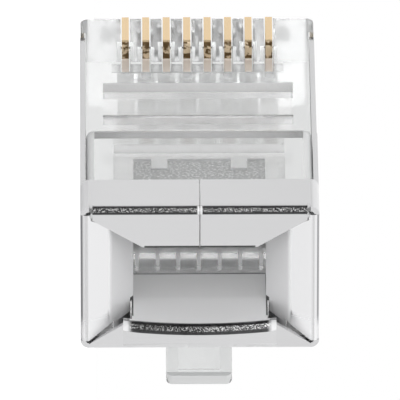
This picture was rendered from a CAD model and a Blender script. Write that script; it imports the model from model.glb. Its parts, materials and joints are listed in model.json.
import json
import math
import bpy
from mathutils import Matrix, Vector

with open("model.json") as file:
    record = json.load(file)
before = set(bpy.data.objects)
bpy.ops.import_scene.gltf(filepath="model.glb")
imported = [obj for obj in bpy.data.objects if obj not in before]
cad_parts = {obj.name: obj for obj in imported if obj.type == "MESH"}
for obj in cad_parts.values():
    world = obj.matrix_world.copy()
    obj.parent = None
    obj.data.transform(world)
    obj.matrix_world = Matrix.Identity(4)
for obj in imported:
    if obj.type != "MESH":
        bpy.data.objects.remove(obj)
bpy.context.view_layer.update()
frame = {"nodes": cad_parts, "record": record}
print("frame loaded")

mm = 0.001
white = (1, 1, 1, 1)
record = frame["record"]
mounts = {mount["name"]: mount for mount in record["mounts"]}

# where the plug lies: its own axes and the rear edge of its shield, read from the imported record
noseWay = Vector(mounts["jack_interface"]["axis"]).normalized()
acrossWay = Vector(mounts["jack_guide_right"]["axis"]).normalized()
contactWay = acrossWay.cross(noseWay)
hinge = {"along": 20.1, "up": -0.15}          # the latch's hinge in the plug's millimetres
hingePlace = Vector(record["behaviour"]["joints"][0]["pos_m"])
plugStart = hingePlace - (noseWay * hinge["along"] + contactWay * hinge["up"]) * mm


def atPlug(across, along, up):
    # a point given in the plug's millimetres: across it, along it to the nose, up to the contacts
    return plugStart + (acrossWay * across + noseWay * along + contactWay * up) * mm


def linear(hexColor):
    # sRGB hex to the linear colour that a socket takes
    channels = [int(hexColor[i:i + 2], 16) / 255 for i in (1, 3, 5)]
    return tuple(c / 12.92 if c <= 0.04045 else ((c + 0.055) / 1.055) ** 2.4
                 for c in channels) + (1.0,)


def addNode(tree, kind, links=None, **settings):
    # one node with its settings; links gives an input, by name or number, a value, a socket,
    # or another node, which stands for its first working output
    node = tree.nodes.new(kind)
    for name, value in settings.items():
        setattr(node, name, value)
    for name, value in (links or {}).items():
        if isinstance(name, int):
            socket = node.inputs[name]
        else:
            socket = next(s for s in node.inputs if s.enabled and s.name == name)
        if isinstance(value, bpy.types.Node):
            value = next(s for s in value.outputs if s.enabled)
        if isinstance(value, bpy.types.NodeSocket):
            tree.links.new(value, socket)
        else:
            socket.default_value = value
    return node


def emptyTree(owner):
    # the node tree of a new material or world, with nothing in it
    owner.use_nodes = True
    owner.node_tree.nodes.clear()
    return owner.node_tree


def finishMaterial(tree, sockets):
    # what each material ends in: the shader with its sockets, and the output
    shader = addNode(tree, "ShaderNodeBsdfPrincipled", sockets)
    addNode(tree, "ShaderNodeOutputMaterial", {"Surface": shader})


def plugPlace(tree):
    # the surface point in the plug's millimetres, x across, y along, z up, and these three on
    # their own, the first counted from the plug's middle
    here = addNode(tree, "ShaderNodeTexCoord").outputs["Object"]
    fromStart = addNode(tree, "ShaderNodeVectorMath", {0: here, 1: plugStart},
                        operation="SUBTRACT")
    across, along, up = [
        addNode(tree, "ShaderNodeVectorMath", {0: fromStart, 1: way / mm}, operation="DOT_PRODUCT")
        for way in (acrossWay, noseWay, contactWay)]
    place = addNode(tree, "ShaderNodeCombineXYZ", {"X": across, "Y": along, "Z": up})
    fromMiddle = addNode(tree, "ShaderNodeMath", {0: across}, operation="ABSOLUTE")
    return place, (fromMiddle, along, up)


def inBoxes(tree, parts, boxes):
    # 1 inside any of the boxes and 0 outside them; each has its low and high corner and the
    # distance over which it fades, in the plug's millimetres, counted across from its middle
    joined = 0.0
    for low, high, fade in boxes:
        inside = 1.0
        for part, start, end in zip(parts, low, high):
            away = addNode(tree, "ShaderNodeMath", {0: part, 1: (start + end) / 2},
                           operation="SUBTRACT")
            away = addNode(tree, "ShaderNodeMath", {0: away}, operation="ABSOLUTE")
            reach = (end - start) / 2
            near = addNode(tree, "ShaderNodeMapRange",
                           {"Value": away, "From Min": reach, "From Max": reach + fade,
                            "To Min": 1.0, "To Max": 0.0})
            inside = addNode(tree, "ShaderNodeMath", {0: near, 1: inside}, operation="MULTIPLY")
        joined = addNode(tree, "ShaderNodeMath", {0: inside, 1: joined}, operation="MAXIMUM")
    return joined


# camera, placed by the plug's own axes, in degrees and millimetres, its clip range in metres
camera = {"tilt": 30.496, "turn": 0.429, "distance": 768.04, "fieldWidth": 19.743, "sensor": 36.0,
          "aim": (0.067, 9.0, 3.0), "right": 0.004, "rise": 0.199, "clip": (0.01, 20.0)}


def makeCamera():
    tilt, turn = math.radians(camera["tilt"]), math.radians(camera["turn"])
    ahead = noseWay * math.cos(turn) + acrossWay * math.sin(turn)
    look = ahead * math.cos(tilt) - contactWay * math.sin(tilt)
    right = acrossWay * math.cos(turn) - noseWay * math.sin(turn)
    rise = right.cross(look)
    target = atPlug(*camera["aim"]) + (right * camera["right"] + rise * camera["rise"]) * mm
    place = target - look * camera["distance"] * mm
    data = bpy.data.cameras.new("studioCamera")
    data.sensor_width = camera["sensor"]
    data.lens = camera["sensor"] * camera["distance"] / camera["fieldWidth"]
    data.clip_start, data.clip_end = camera["clip"]
    holder = bpy.data.objects.new("studioCamera", data)
    bpy.context.collection.objects.link(holder)
    turned = Matrix((right, rise, -look)).transposed().to_4x4()
    holder.matrix_world = Matrix.Translation(place) @ turned
    bpy.context.scene.camera = holder


makeCamera()
print("camera placed")

# floor, room and lamp; sizes are in metres, angles in degrees, the lamp's place and aim in the
# plug's millimetres
# the room has a wide black flag over the contacts' side: it gives the folds of the sheet their
# dark line; the lamp stands low beside the lens, with its lower part under the table top
studio = {"floorSize": 3.0, "floorColor": "#f2f2f2", "floorRoughness": 0.8, "floorGlow": 0.35,
          "roomLight": 0.95, "sideLight": 1.15, "diffuseLight": 0.85,
          "flagColor": "#181819", "flagTurn": 20.0, "flagReach": 60.0, "flagHalfWidth": 14.0,
          "flagSoft": 7.0,
          "lampPlace": (-40, -150, 170), "lampAim": (0, 4, 4), "lampSize": 0.16, "lampPower": 0.5}


def makeFloor():
    # the lens, metal and plastic see it lighter than its own colour, and it keeps its shadow
    half = studio["floorSize"] / 2
    mesh = bpy.data.meshes.new("floor")
    mesh.from_pydata([(-half, -half, 0), (half, -half, 0), (half, half, 0), (-half, half, 0)],
                     [], [(0, 1, 2, 3)])
    floor = bpy.data.objects.new("floor", mesh)
    bpy.context.collection.objects.link(floor)
    material = bpy.data.materials.new("paleTable")
    tree = emptyTree(material)
    path = addNode(tree, "ShaderNodeLightPath").outputs
    seen = addNode(tree, "ShaderNodeMath", {0: path["Is Camera Ray"], 1: path["Is Glossy Ray"]},
                   operation="MAXIMUM")
    seen = addNode(tree, "ShaderNodeMath", {0: seen, 1: path["Is Transmission Ray"]},
                   operation="MAXIMUM")
    glow = addNode(tree, "ShaderNodeMath", {0: seen, 1: studio["floorGlow"]},
                   operation="MULTIPLY")
    finishMaterial(tree, {"Base Color": linear(studio["floorColor"]),
                          "Roughness": studio["floorRoughness"],
                          "Emission Color": white, "Emission Strength": glow})
    mesh.materials.append(material)


def makeRoom():
    # metal sees a pale room with one black flag; the lens and the plastic see white all round
    world = bpy.data.worlds.new("studioRoom")
    bpy.context.scene.world = world
    tree = emptyTree(world)
    way = addNode(tree, "ShaderNodeTexCoord").outputs["Generated"]
    turn, soft = math.radians(studio["flagTurn"]), studio["flagSoft"]
    flagWay = contactWay * math.cos(turn) - noseWay * math.sin(turn)
    toFlag, aside = [
        addNode(tree, "ShaderNodeVectorMath", {0: way, 1: axis}, operation="DOT_PRODUCT")
        for axis in (flagWay, acrossWay)]
    aside = addNode(tree, "ShaderNodeMath", {0: aside}, operation="ABSOLUTE")
    reach = [math.cos(math.radians(studio["flagReach"] + more)) for more in (soft, -soft)]
    width = [math.sin(math.radians(studio["flagHalfWidth"] + more)) for more in (soft, -soft)]
    withinReach, withinWidth = [
        addNode(tree, "ShaderNodeMapRange", {"Value": value, "From Min": low, "From Max": high},
                interpolation_type="SMOOTHSTEP")
        for value, (low, high) in ((toFlag, reach), (aside, width))]
    flag = addNode(tree, "ShaderNodeMath", {0: withinReach, 1: withinWidth}, operation="MULTIPLY")
    roomColor = addNode(tree, "ShaderNodeMix",
                        {"Factor": flag, "A": white, "B": linear(studio["flagColor"])},
                        data_type="RGBA")
    roomPower = addNode(tree, "ShaderNodeMapRange", {"Value": withinWidth,
                                                     "To Min": studio["sideLight"],
                                                     "To Max": studio["roomLight"]})
    forGloss, forDiffuse, forLens = [
        addNode(tree, "ShaderNodeBackground", {"Color": color, "Strength": strength})
        for color, strength in ((roomColor, roomPower), (white, studio["diffuseLight"]),
                                (white, 1.0))]
    path = addNode(tree, "ShaderNodeLightPath").outputs
    seen = addNode(tree, "ShaderNodeMath",
                   {0: path["Is Camera Ray"], 1: path["Is Transmission Ray"]},
                   operation="MAXIMUM")
    lit = addNode(tree, "ShaderNodeMixShader",
                  {0: path["Is Diffuse Ray"], 1: forGloss, 2: forDiffuse})
    room = addNode(tree, "ShaderNodeMixShader", {0: seen, 1: lit, 2: forLens})
    addNode(tree, "ShaderNodeOutputWorld", {"Surface": room})


def makeLamp():
    place, aim = atPlug(*studio["lampPlace"]), atPlug(*studio["lampAim"])
    data = bpy.data.lights.new("softLamp", "AREA")
    data.shape, data.size, data.energy = "SQUARE", studio["lampSize"], studio["lampPower"]
    lamp = bpy.data.objects.new("softLamp", data)
    bpy.context.collection.objects.link(lamp)
    turned = (aim - place).to_track_quat("-Z", "Y").to_matrix().to_4x4()
    lamp.matrix_world = Matrix.Translation(place) @ turned
    lamp.visible_glossy = False          # the pale room is what the metal shows


makeFloor()
makeRoom()
makeLamp()
bpy.context.scene.view_settings.view_transform = "Standard"
print("studio ready")

# clear polycarbonate, injection moulded: glass-like and faintly milky outside, where the mould
# was polished; faces left by the core pins are less even, and the spark-eroded ones are frosted
# and show grey or white
# each face has its box, its colour, how clear and how rough it is, and the colour of its spots if
# it has any; boxes here and below are in the plug's millimetres, counted across from its middle
clearPlastic = {
    "name": "mouldedPolycarbonate", "color": "#f7f8f8", "ior": 1.585, "clear": 0.9,
    "roughness": 0.08, "waveSize": 2.5, "waveHeight": 0.004, "spotSize": 0.12,
    "spotRange": (0.5, 0.6), "faceFade": 0.01,
    "faces": {
        "underside": ((0.00, 0.90, -0.02), (5.90, 21.2, 0.45), "#c8c9c9", 0.88, 0.08),
        "floorUnder": ((0.00, 4.60, -0.02), (4.30, 8.30, 0.45), "#f7f8f8", 1.00, 0.12),
        "latch": ((0.00, 3.00, -6.50), (3.20, 20.5, -0.20), "#e9eaea", 0.88, 0.08),
        "latchPad": ((0.00, 4.90, -6.50), (1.03, 9.40, -3.60), "#f8f9f9", 0.80, 0.12),
        "hollow": ((0.00, 0.90, 0.90), (4.60, 14.3, 7.10), "#ffffff", 0.84, 0.16),
        "hollowFloor": ((0.00, 5.00, 0.80), (4.60, 9.60, 1.25), "#ffffff", 1.00, 0.25),
        "finEdges": ((0.00, 5.60, 1.27), (4.60, 9.80, 3.60), "#d2d2d3", 0.90, 0.30),
        "toeSlots": ((0.00, 0.00, -0.10), (5.40, 2.60, 1.20), "#ffffff", 0.10, 0.50),
        "comb": ((0.00, 14.9, 2.00), (4.60, 20.0, 6.56), "#f0f1f1", 0.92, 0.22),
        "longEdges": ((5.14, 0.90, 7.22), (5.62, 8.14, 7.76), "#e4e5e5", 0.25, 0.40),
        "step": ((0.00, 8.07, 6.65), (5.60, 8.17, 7.70), "#ffffff", 0.95, 0.70),
        "reliefRear": ((0.00, 11.40, 5.32), (4.75, 11.50, 6.58), "#ffffff", 1.00, 0.12),
        "slotRears": ((0.00, 15.70, 4.90), (4.00, 15.86, 6.55), "#c4c4c5", 0.00, 0.50),
        "reliefWall": ((0.00, 14.40, 5.32), (4.75, 14.80, 6.58), "#e8e8e8", 0.00, 0.70, "#ececec"),
        "jacketBar": ((0.00, 3.36, 6.58), (3.28, 5.92, 6.66), "#bcbdbd", 0.00, 0.70, "#f8f8f8"),
        "latchEnd": ((0.00, 4.90, -5.50), (1.70, 5.45, -4.40), "#e0e1e1", 0.00, 0.70)}}


def makeClearPlastic():
    material = bpy.data.materials.new(clearPlastic["name"])
    tree = emptyTree(material)
    place, parts = plugPlace(tree)
    waves = addNode(tree, "ShaderNodeTexNoise",
                    {"Vector": place, "Scale": 1 / clearPlastic["waveSize"], "Detail": 2.0})
    bump = addNode(tree, "ShaderNodeBump",
                   {"Height": waves, "Distance": clearPlastic["waveHeight"] * mm})
    spots = addNode(tree, "ShaderNodeTexNoise",
                    {"Vector": place, "Scale": 1 / clearPlastic["spotSize"], "Detail": 3.0,
                     "Roughness": 0.7})
    begins, full = clearPlastic["spotRange"]
    spots = addNode(tree, "ShaderNodeMapRange",
                    {"Value": spots, "From Min": begins, "From Max": full})
    color, clear = linear(clearPlastic["color"]), clearPlastic["clear"]
    rough = clearPlastic["roughness"]
    for low, high, plain, faceClear, faceRough, *spotted in clearPlastic["faces"].values():
        here = inBoxes(tree, parts, [(low, high, clearPlastic["faceFade"])])
        own = linear(plain)
        if spotted:
            own = addNode(tree, "ShaderNodeMix",
                          {"Factor": spots, "A": own, "B": linear(spotted[0])}, data_type="RGBA")
        color = addNode(tree, "ShaderNodeMix", {"Factor": here, "A": color, "B": own},
                        data_type="RGBA")
        clear = addNode(tree, "ShaderNodeMix", {"Factor": here, "A": clear, "B": faceClear})
        rough = addNode(tree, "ShaderNodeMix", {"Factor": here, "A": rough, "B": faceRough})
    finishMaterial(tree, {"Base Color": color, "Transmission Weight": clear, "Roughness": rough,
                          "IOR": clearPlastic["ior"], "Normal": bump})
    return material


# nickel-plated brass sheet, rolled and folded: satin, with fine rolling lines across the plug;
# inside the funnel it is duller and its lines are deeper; along the folds the stretched plating is
# crazed, which breaks the reflection into bright specks on dark
# the rolling lines are about 0.06 mm apart and drawn four times as coarse, so that they show
# a slope is how squarely the sheet faces a way where a finish begins, and where it is full
sheetMetal = {
    "name": "nickelPlatedSheet", "color": "#d1d1d2", "roughness": 0.2, "plateColor": "#dadadb",
    "sideColor": "#dededf", "bendColor": "#98989a", "edgeColor": "#505051",
    "dullColor": "#f3f3f4", "dullRoughness": 0.42, "dullMetal": 0.25,
    "lineSpacing": 0.24, "lineStretch": 0.12, "lineHeight": 0.0006, "dullLineHeight": 0.004,
    "foldColor": "#505051", "speckColor": "#f4f4f4", "speckSize": 0.065, "speckHeight": 0.008,
    "speckRange": (0.47, 0.6),
    "foldSlope": (0.2, 0.3), "foldMiddleSlope": (0.42, 0.6), "sideSlope": (0.2, 0.3),
    "plateSlope": (0.97, 0.99), "bendSlope": (0.92, 0.98), "bendShare": 0.5,
    "dullPlaces": [((0.0, 0.62, 1.0), (3.4, 5.0, 1.7), 0.08),          # tongue
                   ((3.2, 0.72, 1.0), (4.42, 2.6, 7.0), 0.08)],        # inner ends of side flaps
    "dullFolds": [((3.55, -0.2, 0.2), (4.0, 0.9, 1.7), 0.25),          # ends of the crest
                  ((0.0, -0.2, 7.0), (0.08, 0.5, 8.6), 0.08)],         # seam across the fold
    "dullCorners": [((4.2, 0.0, 0.2), (5.6, 1.2, 1.1), 0.7)],          # low on the side flaps
    "cutEdges": [((0.0, 0.0, 5.40), (2.7, 1.2, 5.67), 0.02),           # of the top flaps
                 ((0.0, 4.84, 1.0), (3.4, 5.0, 1.7), 0.02),            # of the tongue's end
                 ((3.26, 1.0, 1.0), (3.4, 5.0, 1.7), 0.02)]}           # of its sides


def sheetMasks(tree):
    # by where the sheet faces: the folds along the top and bottom, the middle line of these folds,
    # the bends between sides and side flaps, the side flaps themselves, and the plain sides
    normal = addNode(tree, "ShaderNodeNewGeometry").outputs["Normal"]
    up, back, aside = [
        addNode(tree, "ShaderNodeVectorMath", {0: normal, 1: way}, operation="DOT_PRODUCT")
        for way in (contactWay, -noseWay, acrossWay)]
    aside = addNode(tree, "ShaderNodeMath", {0: aside}, operation="ABSOLUTE")
    fold = addNode(tree, "ShaderNodeMath", {0: up, 1: back}, operation="MINIMUM")
    steep = addNode(tree, "ShaderNodeMath", {0: aside, 1: back}, operation="MINIMUM")
    bend = addNode(tree, "ShaderNodeMath", {0: steep, 1: sheetMetal["bendShare"], 2: aside},
                   operation="MULTIPLY_ADD")
    return [
        addNode(tree, "ShaderNodeMapRange", {"Value": value, "From Min": begins, "From Max": full},
                interpolation_type="SMOOTHSTEP")
        for value, (begins, full) in ((fold, sheetMetal["foldSlope"]),
                                      (fold, sheetMetal["foldMiddleSlope"]),
                                      (bend, sheetMetal["bendSlope"]),
                                      (steep, sheetMetal["sideSlope"]),
                                      (aside, sheetMetal["plateSlope"]))]


def makeSheetMetal():
    material = bpy.data.materials.new(sheetMetal["name"])
    tree = emptyTree(material)
    place, parts = plugPlace(tree)
    folds, foldMiddles, bends, sides, plates = sheetMasks(tree)
    dull = inBoxes(tree, parts, sheetMetal["dullPlaces"])
    for mask, boxes in ((folds, sheetMetal["dullFolds"]), (sides, sheetMetal["dullCorners"])):
        there = addNode(tree, "ShaderNodeMath", {0: inBoxes(tree, parts, boxes), 1: mask},
                        operation="MULTIPLY")
        dull = addNode(tree, "ShaderNodeMath", {0: dull, 1: there}, operation="MAXIMUM")
    stretched = addNode(tree, "ShaderNodeVectorMath",
                        {0: place, 1: (sheetMetal["lineStretch"], 1, 1)}, operation="MULTIPLY")
    lines = addNode(tree, "ShaderNodeTexNoise",
                    {"Vector": stretched, "Scale": 1 / sheetMetal["lineSpacing"], "Detail": 3.0})
    lineHeight = addNode(tree, "ShaderNodeMix",
                         {"Factor": dull, "A": sheetMetal["lineHeight"] * mm,
                          "B": sheetMetal["dullLineHeight"] * mm})
    rolled = addNode(tree, "ShaderNodeBump", {"Height": lines, "Distance": lineHeight})
    specks = addNode(tree, "ShaderNodeTexNoise",
                     {"Vector": place, "Scale": 1 / sheetMetal["speckSize"], "Detail": 2.0})
    height = addNode(tree, "ShaderNodeMath", {0: specks, 1: folds}, operation="MULTIPLY")
    creased = addNode(tree, "ShaderNodeBump", {"Height": height, "Normal": rolled,
                                               "Distance": sheetMetal["speckHeight"] * mm})
    begins, full = sheetMetal["speckRange"]
    bright = addNode(tree, "ShaderNodeMapRange",
                     {"Value": specks, "From Min": begins, "From Max": full})
    bright = addNode(tree, "ShaderNodeMath", {0: bright, 1: foldMiddles}, operation="MULTIPLY")
    crazed = addNode(tree, "ShaderNodeMix",
                     {"Factor": bright, "A": linear(sheetMetal["foldColor"]),
                      "B": linear(sheetMetal["speckColor"])}, data_type="RGBA")
    corners = addNode(tree, "ShaderNodeMath", {0: bends, 1: sides}, operation="MULTIPLY")
    edges = inBoxes(tree, parts, sheetMetal["cutEdges"])
    color = linear(sheetMetal["color"])
    for mask, over in ((plates, linear(sheetMetal["plateColor"])),
                       (sides, linear(sheetMetal["sideColor"])),
                       (corners, linear(sheetMetal["bendColor"])),
                       (folds, crazed),
                       (dull, linear(sheetMetal["dullColor"])),
                       (edges, linear(sheetMetal["edgeColor"]))):
        color = addNode(tree, "ShaderNodeMix", {"Factor": mask, "A": color, "B": over},
                        data_type="RGBA")
    metallic = addNode(tree, "ShaderNodeMix",
                       {"Factor": dull, "A": 1.0, "B": sheetMetal["dullMetal"]})
    rough = addNode(tree, "ShaderNodeMix", {"Factor": dull, "A": sheetMetal["roughness"],
                                            "B": sheetMetal["dullRoughness"]})
    finishMaterial(tree, {"Base Color": color, "Metallic": metallic, "Roughness": rough,
                          "Normal": creased})
    return material


# gold flash over nickel on stamped bronze: a pale warm mirror on the rounded edge, broken and
# stained where the die sheared the back of the blade, and dull and pinkish on the low ledge
goldContact = {
    "name": "goldPlatedBronze", "color": "#e5cba4", "roughness": 0.25,
    "stainColor": "#6e5634", "backColor": "#f8e2c0", "backMetal": 0.3,
    "ledgeColor": "#fff3e8", "ledgeMetal": 0.0,
    "shearSize": 0.3, "shearHeight": 0.03, "shearMiddle": 6.33, "shearReach": 0.42,
    "middleCleaner": 0.14, "borderCleaner": -0.12, "cleanRange": (0.46, 0.56),
    "shearedBack": ((0.0, 17.0, 5.90), (5.0, 18.62, 6.79), 0.02),
    "ledge": ((0.0, 17.0, 5.00), (5.0, 20.0, 5.86), 0.02)}


def makeGold():
    material = bpy.data.materials.new(goldContact["name"])
    tree = emptyTree(material)
    place, parts = plugPlace(tree)
    back = inBoxes(tree, parts, [goldContact["shearedBack"]])
    ledge = inBoxes(tree, parts, [goldContact["ledge"]])
    shear = addNode(tree, "ShaderNodeTexNoise",
                    {"Vector": place, "Scale": 1 / goldContact["shearSize"], "Detail": 2.0})
    height = addNode(tree, "ShaderNodeMath", {0: shear, 1: back}, operation="MULTIPLY")
    bump = addNode(tree, "ShaderNodeBump",
                   {"Height": height, "Distance": goldContact["shearHeight"] * mm})
    # the middle of the sheared back is cleaner than its upper and lower borders
    fromMiddle = addNode(tree, "ShaderNodeMath", {0: parts[2], 1: goldContact["shearMiddle"]},
                         operation="SUBTRACT")
    fromMiddle = addNode(tree, "ShaderNodeMath", {0: fromMiddle}, operation="ABSOLUTE")
    cleaner = addNode(tree, "ShaderNodeMapRange",
                      {"Value": fromMiddle, "From Max": goldContact["shearReach"],
                       "To Min": goldContact["middleCleaner"],
                       "To Max": goldContact["borderCleaner"]})
    clean = addNode(tree, "ShaderNodeMath", {0: shear, 1: cleaner}, operation="ADD")
    begins, full = goldContact["cleanRange"]
    clean = addNode(tree, "ShaderNodeMapRange",
                    {"Value": clean, "From Min": begins, "From Max": full})
    backColor = addNode(tree, "ShaderNodeMix",
                        {"Factor": clean, "A": linear(goldContact["stainColor"]),
                         "B": linear(goldContact["backColor"])}, data_type="RGBA")
    color, metallic = linear(goldContact["color"]), 1.0
    for mask, over, metal in ((back, backColor, goldContact["backMetal"]),
                              (ledge, linear(goldContact["ledgeColor"]),
                               goldContact["ledgeMetal"])):
        color = addNode(tree, "ShaderNodeMix", {"Factor": mask, "A": color, "B": over},
                        data_type="RGBA")
        metallic = addNode(tree, "ShaderNodeMix", {"Factor": mask, "A": metallic, "B": metal})
    finishMaterial(tree, {"Base Color": color, "Metallic": metallic,
                          "Roughness": goldContact["roughness"], "Normal": bump})
    return material


plastic, sheet, gold = makeClearPlastic(), makeSheetMetal(), makeGold()
finishes = {"body": plastic, "latch": plastic, "shield": sheet}          # the rest are contacts
for name, node in frame["nodes"].items():
    for slot in node.material_slots:
        slot.material = finishes.get(name, gold)
print("pieces dressed")
